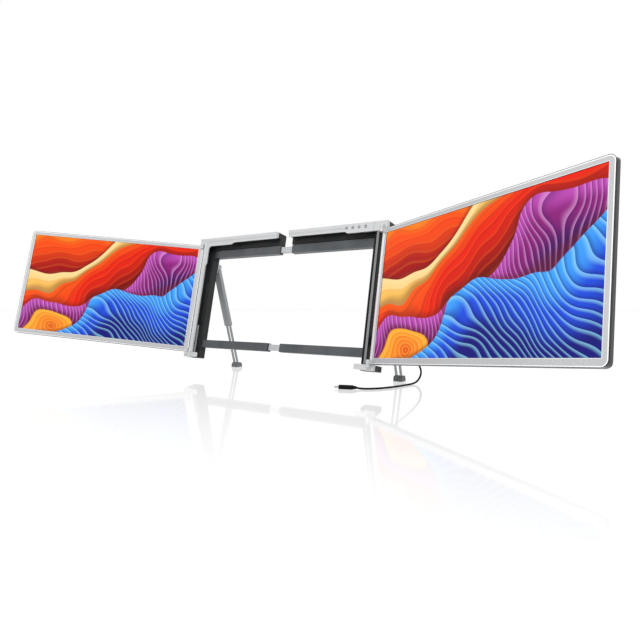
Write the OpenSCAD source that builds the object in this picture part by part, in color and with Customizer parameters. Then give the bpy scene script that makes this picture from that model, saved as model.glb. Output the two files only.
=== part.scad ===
// Laptop screen extender: two monitors that swing on a telescopic frame, which
// hooks over a laptop's lid and leans back with it on two folding legs.
// Frame axes: x to the right, y to the back, z up along the leaning lid, from the
// bottom centre of the frame's front plane. on() turns them upright and mirrors
// the right half, which is drawn, into the left one.

/* [Laptop lid] */
// Width of the lid that the frame is set to
lid_w = 364; // [345:1:396]
// Thickest lid that the channel takes
lid_t = 10; // [7:0.5:14]
// Lean of the lid from upright, in degrees
lean = 11.8; // [6:0.1:16]

/* [Frame] */
// Length of each half's top beam
beam_len = 187; // [172:1:190]
// Height of the frame's top wall
beam_rim = 9.8; // [9:0.1:12]
// Thickness of the wall beside the lid
post_wall = 6; // [5.4:0.1:8]
// Clearance between the lid's edge and the channel
lid_gap = 0.5; // [0.2:0.1:1]
// Thickness of the front lip
lip_t = 1.8; // [1.2:0.1:2.4]
// How far the lip stands back from the front plane
lip_y = 1; // [0.8:0.1:1.6]
// How far the beam's lip reaches over the lid
lip_top = 1.3; // [1:0.1:4]
// How far the post's lip reaches over the lid
lip_side = 1.7; // [1:0.1:3]
// Width of the flat band along the frame's outer edge
band_w = 5; // [4:0.1:6]
// Width of the bevel between the band and the lip
bevel_w = 3.5; // [2:0.1:4]
// Depth of the front shell
shell_d = 6; // [5.6:0.1:6.2]
// How far the rear wall reaches behind the lid
back_over = 10; // [9:0.1:12]
// Thickness of the rear wall behind the lid
back_wall = 4; // [3:0.1:5]
// Wall of the hollow frame
frame_wall = 2.4; // [1.8:0.1:2.6]
// Thickness of the rear cover
cover_t = 2.6; // [2:0.1:3.4]
// Chamfer along the rear cover's edges
edge_cut = 1; // [0.6:0.1:1.6]
// Chamfer along the front shell's outer edge
edge_soft = 0.5; // [0.2:0.1:0.8]
// Thickness of an end cap
cap_t = 2; // [1.4:0.1:3]
// Thickness of a rubber lid pad
pad_t = 0.5; // [0.3:0.1:1]

/* [Corners] */
// Length of the left corner guard along the beam
guard_len = 69; // [50:1:90]
// Length of the left corner guard down the post
guard_drop = 47; // [34:1:60]
// How far the guard reaches past the lip
guard_over = 3.4; // [2:0.1:5]
// Radius of the guard's inner corner
guard_r = 6; // [3:0.5:9]
// Run of the guard's slanted ends
guard_slant = 6.5; // [3:0.5:9]
// Length of the control block at the right corner
panel_len = 76; // [75:1:90]
// Length of the corner cap outside the seam in the control block
cap_len = 23; // [21:0.5:24]
// Width of a seam
seam = 0.4; // [0.2:0.1:0.6]
// Width of the strip down the right post
strip_w = 3.9; // [3:0.1:4.2]
// Thickness of that strip
strip_t = 1.2; // [0.8:0.1:1.6]
// Distance of that strip from the post's outer face
strip_in = 1.3; // [1:0.1:1.8]

/* [Monitors] */
// Width of the screen
active_w = 332.1; // [300:0.1:340]
// Height of the screen
active_h = 186.8; // [170:0.1:200]
// Bezel beside the hinge
bezel_in = 9.6; // [8.8:0.1:12]
// Bezel at the free end
bezel_out = 7; // [6:0.1:10]
// Bezel above the screen
bezel_top = 7; // [6.8:0.1:10]
// Bezel below the screen
bezel_bot = 9; // [7:0.1:12]
// Depth of a monitor
mon_t = 8.5; // [8.3:0.1:10]
// Depth of its front bezel
bezel_t = 2.4; // [2.2:0.1:2.6]
// Outer corner radius of a monitor
mon_r = 8; // [5:0.5:12]
// Wall of the rear shell
mon_wall = 1.4; // [1.2:0.1:1.6]
// Recess of the screen behind the bezel's front
glass_in = 0.9; // [0.6:0.1:1.2]
// Depth of the backlight tray
tray_t = 2.2; // [1.8:0.1:2.3]
// How far the screen panel runs under the bezel
glass_over = 1.2; // [0.8:0.1:1.5]
// Clearance around the screen panel
glass_gap = 0.3; // [0.1:0.1:0.5]
// Swing of the left monitor towards the viewer, in degrees
swing_l = 29; // [0:0.5:60]
// Swing of the right monitor towards the viewer, in degrees
swing_r = 23.9; // [0:0.1:60]

/* [Hinges] */
// Radius of the hinge pins
pin_r = 1.5; // [1.2:0.05:1.8]
// Running clearance of a pin in its bore, on the radius
pin_gap = 0.05; // [0.02:0.01:0.1]
// Radius of the hinge lugs
lug_r = 3; // [2.6:0.1:3.4]
// Height of a lug on the frame
lug_h = 4.7; // [3.6:0.1:6]
// Height of a lug on a monitor
leaf_h = 6; // [4.6:0.1:6.4]
// Height of the block that carries the lower lug
block_h = 8.5; // [7.5:0.1:10]
// Height of the block that carries the upper lug
top_block_h = 12.7; // [12:0.1:15]
// Gap between a monitor and the blocks above and below it
mon_gap = 0.5; // [0.4:0.1:1]
// Gap between a monitor's inner edge and the post
edge_gap = 1.5; // [1.4:0.1:2.5]
// Distance of the hinge axis from the monitor's inner edge
axis_in = 3.5; // [3.5:0.1:3.8]
// Material outside a lug
lug_cover = 3.5; // [1:0.1:4]
// Gap between the frame and the left monitor folded over it
fold_gap = 0.9; // [0.7:0.1:1.5]
// Gap between the two monitors folded over each other
stack_gap = 0.6; // [0.4:0.1:1.5]
// Reach of a hinge leaf into its monitor
leaf_len = 42; // [38:1:50]
// Width of a hinge leaf
leaf_w = 14; // [10:1:18]
// Thickness of a hinge leaf
leaf_t = 1; // [0.8:0.1:1.2]
// How far a hinge bracket reaches back into its block
bracket_in = 14; // [10:1:18]

/* [Rails] */
// Height of a rail channel
rail_h = 14; // [12:0.5:16]
// Depth of a rail channel
rail_d = 10; // [9:0.1:11]
// Wall of a rail channel
rail_wall = 1.8; // [1.4:0.1:2.2]
// Clearance around a rail bar
rail_gap = 0.2; // [0.1:0.05:0.3]
// Height of the lower rail above the frame's bottom edge
low_rail_z = 20; // [14:0.5:24]
// Length of a rail bar
bar_len = 285; // [260:1:290]

/* [Clips] */
// Height of a clip's hook
clip_h = 8.4; // [6:0.1:9]
// Reach of a clip's hook from the side wall
clip_reach = 15.8; // [12:0.1:20]
// Length of a clip's stem
stem_len = 60; // [50:1:80]
// Width of a clip's stem
stem_w = 5.5; // [5:0.1:5.6]
// Thickness of a clip's stem
stem_t = 2.1; // [1.6:0.1:2.4]
// Running clearance around a stem
stem_gap = 0.15; // [0.1:0.05:0.2]
// Wall that holds the stem in its slot
slot_lip = 0.8; // [0.6:0.1:1]
// Radius of the dimple in a clip's front
dimple_r = 1; // [0.6:0.1:1.6]

/* [Controls] */
// Radius of a button
button_r = 2.4; // [2:0.1:2.6]
// Distance between buttons
button_pitch = 11.4; // [9:0.1:12]
// How far a button stands out of the control block
button_out = 0.5; // [0.3:0.1:0.6]
// Clearance around a button
button_gap = 0.2; // [0.1:0.05:0.2]
// Thickness of the button's flange
flange_t = 0.8; // [0.6:0.1:1]
// Travel of a button up to its switch
button_travel = 0.55; // [0.3:0.05:0.7]
// Front wall over the controls
panel_wall = 1.8; // [1.4:0.1:2]
// Distance of the last button from the seam
button_end = 15; // [13:0.5:17]
// Chamfer round a button's face
button_soft = 0.3; // [0.1:0.05:0.4]
// Depth of the dish in a button's face
button_dish = 0.25; // [0.1:0.05:0.3]

/* [Legs] */
// Height of the leg's pivot along the frame
pivot_z = 178; // [168:1:182]
// Distance of the pivot behind the frame
pivot_out = 5.2; // [4.8:0.1:6]
// Angle of a leg from upright, in degrees
leg_angle = 15.4; // [8:0.1:24]
// Height of the frame's bottom edge above the table
table_drop = 30; // [20:0.5:40]
// Depth of a leg
leg_d = 7; // [6.6:0.1:8]
// Wall of a leg
leg_wall = 1.2; // [1:0.1:1.3]
// Length of a leg's upper part below the pivot
leg_len = 118; // [112:1:125]
// Width of a fork bar
fork_w = 3.2; // [2.6:0.1:4]
// Depth of a fork bar
fork_d = 3.2; // [2.6:0.1:4.2]
// Distance between the fork bars' middles
fork_span = 8.4; // [7.6:0.1:9.4]
// Length of the fork inside the leg
fork_in = 64; // [50:1:66]
// Running clearance around a fork bar
fork_gap = 0.15; // [0.1:0.05:0.2]
// Radius of a leg's pivot pin
leg_pin_r = 1.6; // [1.2:0.1:2]
// Clearance between a leg and the bracket's ears
ear_gap = 0.2; // [0.1:0.05:0.4]
// Thickness of the bracket's ears
ear_t = 2.2; // [1.8:0.1:2.6]
// Height of the bracket's base
base_h = 26; // [24:1:30]
// Width of a foot
foot_w = 15; // [13.6:0.1:16]
// Depth of a foot
foot_d = 15; // [13:0.5:20]
// Height of a foot
foot_h = 9; // [7:0.5:11]
// Width of a groove in a foot's sole
sole_w = 1.2; // [0.8:0.1:2]
// Depth of a groove in a foot's sole
sole_d = 0.8; // [0.4:0.1:1.2]
// Chamfer round a leg's lower end
leg_soft = 0.6; // [0.3:0.1:0.8]

/* [Screws] */
// Radius of a screw's shank
screw_r = 1; // [0.8:0.05:1.2]
// Radius of a screw's head
head_r = 2; // [1.6:0.1:2.2]
// Height of a screw's head
head_h = 1.2; // [0.9:0.1:1.4]
// Radius of a screw boss
boss_r = 2.4; // [2:0.1:2.6]
// Radius of a monitor screw's shank
mini_r = 0.8; // [0.6:0.05:0.9]
// Radius of a monitor screw's head
mini_head_r = 1.6; // [1.3:0.1:1.7]
// Height of a monitor screw's head
mini_head_h = 0.7; // [0.5:0.1:0.8]
// Radius of a boss in a monitor
mini_boss_r = 1.9; // [1.5:0.1:1.9]
// Height of a vent slot in a monitor's back
slot_h = 9; // [6:0.5:14]
// Width of a vent slot in a monitor's back
slot_w = 1.6; // [1.2:0.1:2.4]
// Distance between those vent slots
slot_pitch = 4; // [3:0.1:6]

/* [Cord] */
// Diameter of the cord
cord_d = 3; // [2.6:0.1:4]
// Length of the far plug's moulding
plug_len = 26; // [20:1:32]
// Width of the far plug's moulding
plug_w = 10; // [8:0.5:12]
// Thickness of the far plug's moulding
plug_t = 6; // [5:0.5:7]
// Length of the far plug's metal tongue
tongue_len = 6.6; // [5:0.1:8]
// Width of that tongue
tongue_w = 8.3; // [6:0.1:9]
// Thickness of that tongue
tongue_t = 2.5; // [2:0.1:3]
// Wall of that tongue's shell
tongue_wall = 0.3; // [0.2:0.05:0.4]
// Edge radius of the plug's moulding
plug_r = 2.2; // [1:0.1:2.4]
// Length of the plug's neck towards the cord
neck_len = 6; // [4:0.5:9]
// Height of the cord's outlet along the frame
pod_z = 45; // [40:1:52]
// Height of the outlet's housing
pod_h = 18; // [14:1:22]
// Width of the outlet's housing
pod_w = 14; // [13:0.5:16]
// Depth of the outlet's housing
pod_d = 9.6; // [8:0.1:12]
// Radius of the cord's boot at the outlet
boot_r = 3.2; // [2.8:0.1:3.6]
// Length of the boot outside the housing
boot_len = 10; // [6:0.5:12]

/* [Hidden] */

$fn = 64;
eps = 0.01;
cut = 1;
left = 0;
right = 1;

// Frame, across
wall_x = lid_w / 2 + lid_gap;
lid_x = lid_w / 2;
post_x = wall_x + post_wall;
axis_x = post_x + edge_gap + axis_in;
half_w = axis_x + lug_r + lug_cover;
beam_x = half_w - beam_len;
mid_x = beam_x + cap_t;
lip_x = lid_x - lip_side;
back_x = lid_x - back_over;
post_band = post_wall / 3;
post_bevel = post_wall / 3;

// Frame, upwards
mon_z = block_h + mon_gap;
mon_h = bezel_bot + active_h + bezel_top;
mon_top = mon_z + mon_h;
bay_top = mon_top + mon_gap;
top_z = bay_top + top_block_h;
ceil_z = top_z - beam_rim;
lid_z = ceil_z - lid_gap;
lip_z = lid_z - lip_top;
back_z = lid_z - back_over;
guard_z = lip_z - guard_over;
guard_x = lip_x - guard_over;

// Frame, from the front to the back
channel_y = lip_y + lip_t;
back_y = channel_y + lid_t;
bay_y = back_y + back_wall;
rail_skin = 1.2;
rail_play = 0.4;
rail_y = back_y + rail_skin;
cover_y = rail_y + rail_d + rail_play;
frame_d = cover_y + cover_t;
high_rail_z = back_z - cut - rail_h;
rail_end = back_x + 8;

// Right corner
panel_x = half_w - panel_len;
seam_x = half_w - cap_len;

// Controls
well_floor = 0.8;
well_top = 1.8;
well_z = ceil_z + well_floor;
button_z = well_z + button_gap + button_r;
flange_w = 3.2;
flange_side = 0.4;
well_x0 = seam_x - button_end - 3 * button_pitch - flange_w - flange_side;
well_x1 = seam_x - button_end + flange_w + flange_side;
board_t = 1;
switch_h = 0.7;
switch_w = 3;
switch_y = panel_wall + flange_t + button_gap + button_travel;

// Monitors: u runs outwards from the hinge axis
fold_l = -fold_gap;
fold_r = fold_l - mon_t - stack_gap;
act_u = bezel_in - axis_in;
act_z = mon_z + bezel_bot;
mon_w = bezel_in + active_w + bezel_out;
end_u = mon_w - axis_in;
arm_u = act_u - glass_over - glass_gap;
tray_end = act_u + active_w + glass_over + glass_gap;
tray_top = act_z + active_h + glass_over + glass_gap;
shell_u = cut - axis_in;
taper_u = axis_in + 2.5;
rear_cut = 1.6;
glass_t = bezel_t - glass_in;
tray_y = bezel_t + tray_t;
leaf_y = tray_y + 0.2;
floor_y = mon_t - mon_wall;
leaf_edge = mon_wall + 0.2;
leaf_us = [leaf_len / 3, leaf_len - 8];
rim_us = [for (k = [1, 3, 5]) act_u + active_w * k / 6];
support_u = 40;
support_r = 3;
pcb_y = leaf_y + 0.7;
pcb_t = 0.8;
pcb_w = 92;
pcb_h = 46;
pcb_u = leaf_len + 20;
pcb_z = mon_z + 43;
pcb_hole = 4;
pcb_post_r = 2;
// Chips on a driver board: place on the board, width and height
driver_chips = [[14, 16, 14, 14], [44, 12, 10, 10], [70, 20, 8, 20]];
slot_n = 17;
slot_u = pcb_u + 14;
slot_z = pcb_z + 16;

// Clips
stem_mid = (shell_d + back_y) / 2;
slot_x = wall_x + slot_lip;
neck_w = 3.7;
clip_z = 0.5;
clip_room = clip_z + clip_h + 0.5;
skin = 0.15;

// Legs, upright
leg_w = fork_span + fork_w + 2 * fork_gap + 2 * leg_wall;
leg_x = back_x + ear_t + ear_gap + leg_w / 2;
pivot_y = frame_d + pivot_out;
base_t = pivot_out - leg_d / 2 - 0.3;
pivot_wy = pivot_y * cos(lean) + pivot_z * sin(lean);
pivot_wz = pivot_z * cos(lean) - pivot_y * sin(lean);
reach = (pivot_wz + table_drop) / cos(leg_angle);
fork_foot = 6;
base_screw_z = pivot_z + 8;

// Screws
post_mid = (back_x + post_x) / 2;
case_spots = [
    [beam_x + 14, lid_z - 3.5], [beam_x + 84, lid_z - 3.5], [post_mid, pod_z], [post_mid, 152]
];
base_pitch = 5.6;
base_spots = [for (k = [-1, 1]) [post_mid + k * base_pitch / 2, base_screw_z]];

groove_d = 0.6;
groove_h = 0.8;
vent_n = 9;
vent_x = beam_x + 96;
vent_pitch = 4.5;
vent_w = 2;
vent_h = 8;
pad_low = 66;
pad_run = 76;
pin_in = 0.6;
tab_r = 2;
ear_r = 3.8;
web_h = 5;
foot_cut = 2.5;
sole_pitch = 5;
main_z = 62;
main_h = 76;
main_chips = [10, 29, 48];
chip = 8;
chip_t = 1.2;
board_y = bay_y + 3;
rim_low = mon_z + (mon_wall + bezel_bot - glass_over) / 2;
rim_high = mon_top - (mon_wall + bezel_top - glass_over) / 2;
leaf_low = mon_z + leaf_edge;
leaf_high = mon_top - leaf_edge - leaf_w;
// Where the arm's front meets the shell's slanted side
arm_y = bezel_t + (arm_u - shell_u) * (mon_t - bezel_t) / (taper_u - shell_u);
pod_cut = 2;
pod_cable_x = post_x + 10;
boot_in = 5;
boot_root = boot_r - 0.4;
boot_tip = boot_r - 0.9;
boot_core = boot_r - 1.2;
ring_w = 0.9;
ring_pitch = 2.2;
cord_in = 4;

// Cord, upright, from the boot to the far plug; it lies on the table
cord_z = cord_d / 2 - table_drop;
route = [
    [198.5, 43.4, 37.0], [198.6, 50, 35.4], [199.6, 62, 31.6], [203, 78, 25.4],
    [209, 94, 16.8], [215.5, 107, 7.2], [220, 115.5, -3], [221.8, 117, -13],
    [220.8, 112.5, -21.6], [218.6, 104.5, -26.8], [216, 93, cord_z], [213.6, 79, cord_z],
    [210.6, 64, cord_z], [206.8, 50, cord_z], [201.6, 37, cord_z], [195.6, 25.5, cord_z],
    [187.4, 15.4, cord_z], [176, 9.4, cord_z], [168, 6.4, cord_z + 1.2]
];
rings = 3;
sides = 8;
plug_dir = 20;
tongue_root = -1;
blade_in = 0.6;
blade_w = tongue_w - 6 * tongue_wall;
blade_t = 0.7;
neck_in = 2;
neck_gap = 0.1;
neck_wall = 0.7;
plug_rib = 0.3;
plug_rib_w = 0.8;
plug_rib_pitch = 2;
plug_at = [169, 6.8, cord_z + 1.2];

module leaned() {
    rotate([-lean, 0, 0]) children();
}

// Draws a part of the given half, in frame axes
module on(side) {
    leaned() {
        if (side == left) mirror([1, 0, 0]) children();
        else children();
    }
}

function axis_y(side) = (side == left ? fold_l : fold_r) / 2;
function swing(side) = side == left ? swing_l : swing_r;

// Draws a part of a monitor: x outwards from the axis, y back from its front face
module hung(side) {
    on(side) translate([axis_x, axis_y(side), 0]) rotate([0, 0, -swing(side)])
        translate([0, -axis_y(side), 0]) children();
}

// Draws a part of a leg: z up along the leg, from its pivot
module legged(side) {
    if (side == left) mirror([1, 0, 0]) leg_frame() children();
    else leg_frame() children();
}

module leg_frame() {
    translate([leg_x, pivot_wy, pivot_wz]) rotate([leg_angle, 0, 0]) children();
}

module box(x0, x1, y0, y1, z0, z1) {
    translate([x0, y0, z0]) cube([x1 - x0, y1 - y0, z1 - z0]);
}

// Extrudes an outline in y and z along x
module along_x(x0, x1) {
    translate([x0, 0, 0]) rotate([90, 0, 90]) linear_extrude(x1 - x0) children();
}

// Extrudes an outline in x and z along y
module slab(y0, y1) {
    translate([0, y1, 0]) rotate([90, 0, 0]) linear_extrude(y1 - y0) children();
}

module rod_y(x, z, r, y0, y1) {
    translate([x, y1, z]) rotate([90, 0, 0]) cylinder(r = r, h = y1 - y0);
}

module rod_x(x0, x1, y, z, r) {
    translate([x0, y, z]) rotate([0, 90, 0]) cylinder(r = r, h = x1 - x0);
}

// A cone along y, of radius r0 at y0 and r1 at y1
module cone_y(x, z, r0, r1, y0, y1) {
    translate([x, y0, z]) rotate([-90, 0, 0]) cylinder(r1 = r0, r2 = r1, h = y1 - y0);
}

// A rectangle round the origin with corners of the given radius
module rounded(w, h, r) {
    square([w - 2 * r, h], center = true);
    square([w, h - 2 * r], center = true);
    for (x = [r - w / 2, w / 2 - r]) for (z = [r - h / 2, h / 2 - r]) translate([x, z]) circle(r);
}

// ---- Frame ----

module beam_front(x0, x1) {
    along_x(x0, x1) polygon([
        [edge_soft, top_z], [shell_d, top_z], [shell_d, ceil_z], [channel_y, ceil_z],
        [channel_y, lip_z], [lip_y, lip_z], [lip_y, top_z - band_w - bevel_w],
        [0, top_z - band_w], [0, top_z - edge_soft]
    ]);
}

module post_front(z0, z1) {
    translate([0, 0, z0]) linear_extrude(z1 - z0) polygon([
        [post_x, edge_soft], [post_x, shell_d], [wall_x, shell_d], [wall_x, channel_y],
        [lip_x, channel_y], [lip_x, lip_y], [post_x - post_band - post_bevel, lip_y],
        [post_x - post_band, 0], [post_x - edge_soft, 0]
    ]);
}

// A hinge block's outline, softened along its outer front edge
module block_front(x0, z0, z1) {
    translate([0, 0, z0]) linear_extrude(z1 - z0) polygon([
        [x0, 0], [half_w - edge_soft, 0], [half_w, edge_soft], [half_w, shell_d], [x0, shell_d]
    ]);
}

// Room for the clip's hook at the foot of the post
module hook_room() {
    box(lip_x - cut, slot_x + stem_t + 2 * stem_gap, lip_y - skin, shell_d + eps, -cut, clip_room);
}

module bracket_rooms(side) {
    for (z = [bay_top, block_h - lug_h])
        box(axis_x - lug_r, axis_x + lug_r, -cut, bracket_in,
            z == bay_top ? z - cut : z, z == bay_top ? z + lug_h : z + lug_h + cut);
}

// The guard's outline over the lid's corner, with slanted ends and a round inner corner
module guard_outline() {
    polygon([
        [post_x - guard_len - guard_slant, lip_z + cut], [post_x - guard_len - guard_slant, lip_z],
        [post_x - guard_len, guard_z], [guard_x, guard_z], [guard_x, top_z - guard_drop],
        [lip_x, top_z - guard_drop - guard_slant], [lip_x + cut, top_z - guard_drop - guard_slant],
        [lip_x + cut, lip_z + cut]
    ]);
    difference() {
        translate([guard_x - guard_r, guard_z - guard_r]) square(guard_r + eps);
        translate([guard_x - guard_r, guard_z - guard_r]) circle(guard_r);
    }
}

module left_front_shell() {
    color("silver") on(left) difference() {
        union() {
            beam_front(beam_x, post_x);
            post_front(0, top_z);
            slab(lip_y, channel_y) guard_outline();
            block_front(post_x - cut, bay_top, top_z);
            block_front(lid_x, 0, block_h);
        }
        hook_room();
        bracket_rooms(left);
    }
}

module right_front_shell() {
    color("silver") on(right) difference() {
        union() {
            beam_front(beam_x, seam_x - seam);
            slab(0, channel_y) polygon([
                [panel_x, top_z], [panel_x, lip_z], [panel_x + guard_slant, guard_z],
                [seam_x - seam, guard_z], [seam_x - seam, top_z]
            ]);
            box(panel_x, seam_x - seam, 0, shell_d, ceil_z, top_z);
        }
        control_well();
    }
}

module control_well() {
    box(well_x0, well_x1, panel_wall, shell_d + eps, well_z, top_z - well_top);
    for (i = [0 : 3])
        rod_y(button_x(i), button_z, button_r + button_gap, -cut, panel_wall + eps);
}

function button_x(i) = seam_x - button_end - (3 - i) * button_pitch;

module right_corner_cap() {
    color("gainsboro") on(right) difference() {
        union() {
            box(seam_x, post_x, 0, channel_y, guard_z, top_z);
            box(seam_x, post_x, 0, shell_d, ceil_z, top_z);
            box(wall_x, post_x, 0, shell_d, guard_z, top_z);
            block_front(post_x - cut, bay_top, top_z);
        }
        bracket_rooms(right);
    }
}

module right_lower_cap() {
    color("gainsboro") on(right) difference() {
        block_front(lid_x, 0, block_h);
        hook_room();
        bracket_rooms(right);
    }
}

module right_post_shell() {
    color("dimgray") on(right) difference() {
        translate([0, 0, block_h]) linear_extrude(guard_z - seam - block_h) polygon([
            [post_x, 0], [post_x, shell_d], [wall_x, shell_d], [wall_x, channel_y],
            [lip_x, channel_y], [lip_x, lip_y], [wall_x, lip_y], [wall_x, 0]
        ]);
        box(post_x - strip_in - strip_w, post_x - strip_in, -cut, strip_t, clip_room, top_z);
        hook_room();
    }
}

module right_post_strip() {
    color("darkgray") on(right)
        box(post_x - strip_in - strip_w, post_x - strip_in, 0, strip_t, clip_room, guard_z - seam);
}

module clip_slot() {
    box(slot_x, slot_x + stem_t + 2 * stem_gap, stem_mid - stem_w / 2 - stem_gap,
        stem_mid + stem_w / 2 + stem_gap, -cut, clip_z + stem_len + cut);
    box(wall_x - cut, slot_x + cut, stem_mid - neck_w / 2 - stem_gap,
        stem_mid + neck_w / 2 + stem_gap, -cut, clip_z + stem_len + cut);
    box(slot_x, slot_x + stem_t + 2 * stem_gap, shell_d - eps, stem_mid, -cut, clip_room);
}

// The dark body behind the front shell, hollow and open to the rear
module mid_frame(side) {
    difference() {
        union() {
            along_x(mid_x, post_x) polygon([
                [shell_d, ceil_z], [back_y, ceil_z], [back_y, back_z], [cover_y, back_z],
                [cover_y, top_z], [shell_d, top_z]
            ]);
            linear_extrude(top_z) polygon([
                [wall_x, shell_d], [post_x, shell_d], [post_x, cover_y], [back_x, cover_y],
                [back_x, back_y], [wall_x, back_y]
            ]);
            box(post_x - cut, half_w, shell_d, cover_y, bay_top, top_z);
            box(post_x - cut, half_w, shell_d, cover_y, 0, block_h);
        }
        difference() {
            union() {
                along_x(mid_x - cut, post_x - frame_wall) polygon([
                    [shell_d + frame_wall, ceil_z + frame_wall], [bay_y, ceil_z + frame_wall],
                    [bay_y, back_z + frame_wall], [cover_y + cut, back_z + frame_wall],
                    [cover_y + cut, top_z - frame_wall], [shell_d + frame_wall, top_z - frame_wall]
                ]);
                box(back_x + frame_wall, post_x - frame_wall, bay_y, cover_y + cut,
                    frame_wall, top_z - frame_wall);
            }
            for (p = concat(case_spots, base_spots))
                rod_y(p[0], p[1], boss_r, bay_y - cut, cover_y);
        }
        for (p = concat(case_spots, base_spots))
            rod_y(p[0], p[1], screw_r, bay_y, cover_y + cut);
        for (z = [low_rail_z, high_rail_z])
            box(back_x - cut, rail_end, rail_y, rail_y + rail_d, z, z + rail_h);
        clip_slot();
        bracket_rooms(side);
        for (z = [block_h / 4, block_h / 2, block_h * 3 / 4])
            box(half_w - groove_d, half_w + cut, shell_d + 2, cover_y - 2, z - groove_h / 2, z + groove_h / 2);
    }
}

module left_mid_frame() {
    color("dimgray") on(left) mid_frame(left);
}

module right_mid_frame() {
    color("dimgray") on(right) mid_frame(right);
}

module rear_cover() {
    difference() {
        union() {
            along_x(mid_x, post_x) polygon([
                [cover_y, back_z], [frame_d - edge_cut, back_z], [frame_d, back_z + edge_cut],
                [frame_d, top_z - edge_cut], [frame_d - edge_cut, top_z], [cover_y, top_z]
            ]);
            linear_extrude(top_z - edge_cut) polygon([
                [back_x, cover_y], [back_x, frame_d - edge_cut], [back_x + edge_cut, frame_d],
                [post_x - edge_cut, frame_d], [post_x, frame_d - edge_cut], [post_x, cover_y]
            ]);
            for (z = [[bay_top, top_z - edge_cut], [0, block_h]])
                translate([0, 0, z[0]]) linear_extrude(z[1] - z[0]) polygon([
                    [post_x - 2 * edge_cut, cover_y], [post_x - 2 * edge_cut, frame_d],
                    [half_w - edge_cut, frame_d], [half_w, frame_d - edge_cut], [half_w, cover_y]
                ]);
        }
        for (p = case_spots) {
            rod_y(p[0], p[1], screw_r, cover_y - cut, frame_d + cut);
            rod_y(p[0], p[1], head_r, frame_d - head_h, frame_d + cut);
        }
        for (p = base_spots)
            rod_y(p[0], p[1], screw_r, cover_y - cut, frame_d + cut);
        for (i = [0 : vent_n - 1])
            box(vent_x + i * vent_pitch, vent_x + i * vent_pitch + vent_w, cover_y - cut, frame_d + cut,
                back_z + 5, back_z + 5 + vent_h);
    }
}

module left_rear_cover() {
    color("gray") on(left) rear_cover();
}

module right_rear_cover() {
    color("gray") on(right) rear_cover();
}

module end_cap() {
    along_x(beam_x, mid_x) polygon([
        [shell_d, ceil_z], [back_y, ceil_z], [back_y, back_z], [frame_d - edge_cut, back_z],
        [frame_d, back_z + edge_cut], [frame_d, top_z - edge_cut], [frame_d - edge_cut, top_z],
        [shell_d, top_z]
    ]);
}

module left_end_cap() {
    color("slategray") on(left) end_cap();
}

module right_end_cap() {
    color("slategray") on(right) end_cap();
}

// Rubber strips on the wall behind the lid
module lid_pads() {
    for (x = [beam_x + 20, beam_x + 100])
        box(x, x + 46, back_y - pad_t, back_y, back_z + 2, ceil_z - 2);
    box(back_x + 2, wall_x - 2, back_y - pad_t, back_y, pad_low, pad_low + pad_run);
}

module left_lid_pads() {
    color("black") on(left) lid_pads();
}

module right_lid_pads() {
    color("black") on(right) lid_pads();
}

// Steel lugs let into the blocks above and below a monitor
module hinge_brackets(side) {
    for (z = [bay_top, block_h - lug_h]) difference() {
        union() {
            translate([axis_x, axis_y(side), z]) cylinder(r = lug_r, h = lug_h);
            box(axis_x - lug_r, axis_x + lug_r, axis_y(side), bracket_in, z, z + lug_h);
        }
        translate([axis_x, axis_y(side), z - cut]) cylinder(r = pin_r, h = lug_h + 2 * cut);
    }
}

module left_hinge_brackets() {
    color("lightsteelblue") on(left) hinge_brackets(left);
}

module right_hinge_brackets() {
    color("lightsteelblue") on(right) hinge_brackets(right);
}

module hinge_pins(side) {
    translate([axis_x, axis_y(side), mon_top - leaf_h + pin_in])
        cylinder(r = pin_r, h = bay_top + lug_h - mon_top + leaf_h - pin_in);
    translate([axis_x, axis_y(side), block_h - lug_h])
        cylinder(r = pin_r, h = mon_z + leaf_h - pin_in - block_h + lug_h);
}

module left_hinge_pins() {
    color("white") on(left) hinge_pins(left);
}

module right_hinge_pins() {
    color("white") on(right) hinge_pins(right);
}

// Two tubes from the middle into the post; the right ones grip their bars
module rail_channels(side) {
    play = side == left ? rail_gap : 0;
    for (z = [low_rail_z, high_rail_z]) difference() {
        box(beam_x, rail_end, rail_y, rail_y + rail_d, z, z + rail_h);
        box(beam_x - cut, rail_end - rail_wall, rail_y + rail_wall + rail_gap - play,
            rail_y + rail_d - rail_wall - rail_gap + play, z + rail_wall + rail_gap - play,
            z + rail_h - rail_wall - rail_gap + play);
    }
}

module left_rail_channels() {
    color("darkslategray") on(left) rail_channels(left);
}

module right_rail_channels() {
    color("darkslategray") on(right) rail_channels(right);
}

module right_rail_bars() {
    color("lightgray") on(right) for (z = [low_rail_z, high_rail_z])
        box(rail_end - rail_wall - bar_len, rail_end - rail_wall, rail_y + rail_wall + rail_gap,
            rail_y + rail_d - rail_wall - rail_gap, z + rail_wall + rail_gap,
            z + rail_h - rail_wall - rail_gap);
}

// The bracket that carries a leg, with its pivot pin
module leg_bracket() {
    difference() {
        union() {
            box(back_x, leg_x + leg_w / 2 + ear_gap + ear_t, frame_d, frame_d + base_t,
                pivot_z - base_h / 2, pivot_z + base_h / 2);
            for (x = [leg_x - leg_w / 2 - ear_gap - ear_t, leg_x + leg_w / 2 + ear_gap]) {
                rod_x(x, x + ear_t, pivot_y, pivot_z, ear_r);
                box(x, x + ear_t, frame_d, pivot_y, pivot_z - ear_r, pivot_z + ear_r);
            }
            rod_x(leg_x - leg_w / 2 - ear_gap - cut, leg_x + leg_w / 2 + ear_gap + cut,
                pivot_y, pivot_z, leg_pin_r);
        }
        for (p = base_spots) {
            rod_y(p[0], p[1], screw_r, frame_d - cut, frame_d + base_t + cut);
            rod_y(p[0], p[1], head_r, frame_d + base_t / 2, frame_d + base_t + cut);
        }
    }
}

module left_leg_bracket() {
    color("lightsteelblue") on(left) leg_bracket();
}

module right_leg_bracket() {
    color("lightsteelblue") on(right) leg_bracket();
}

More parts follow.
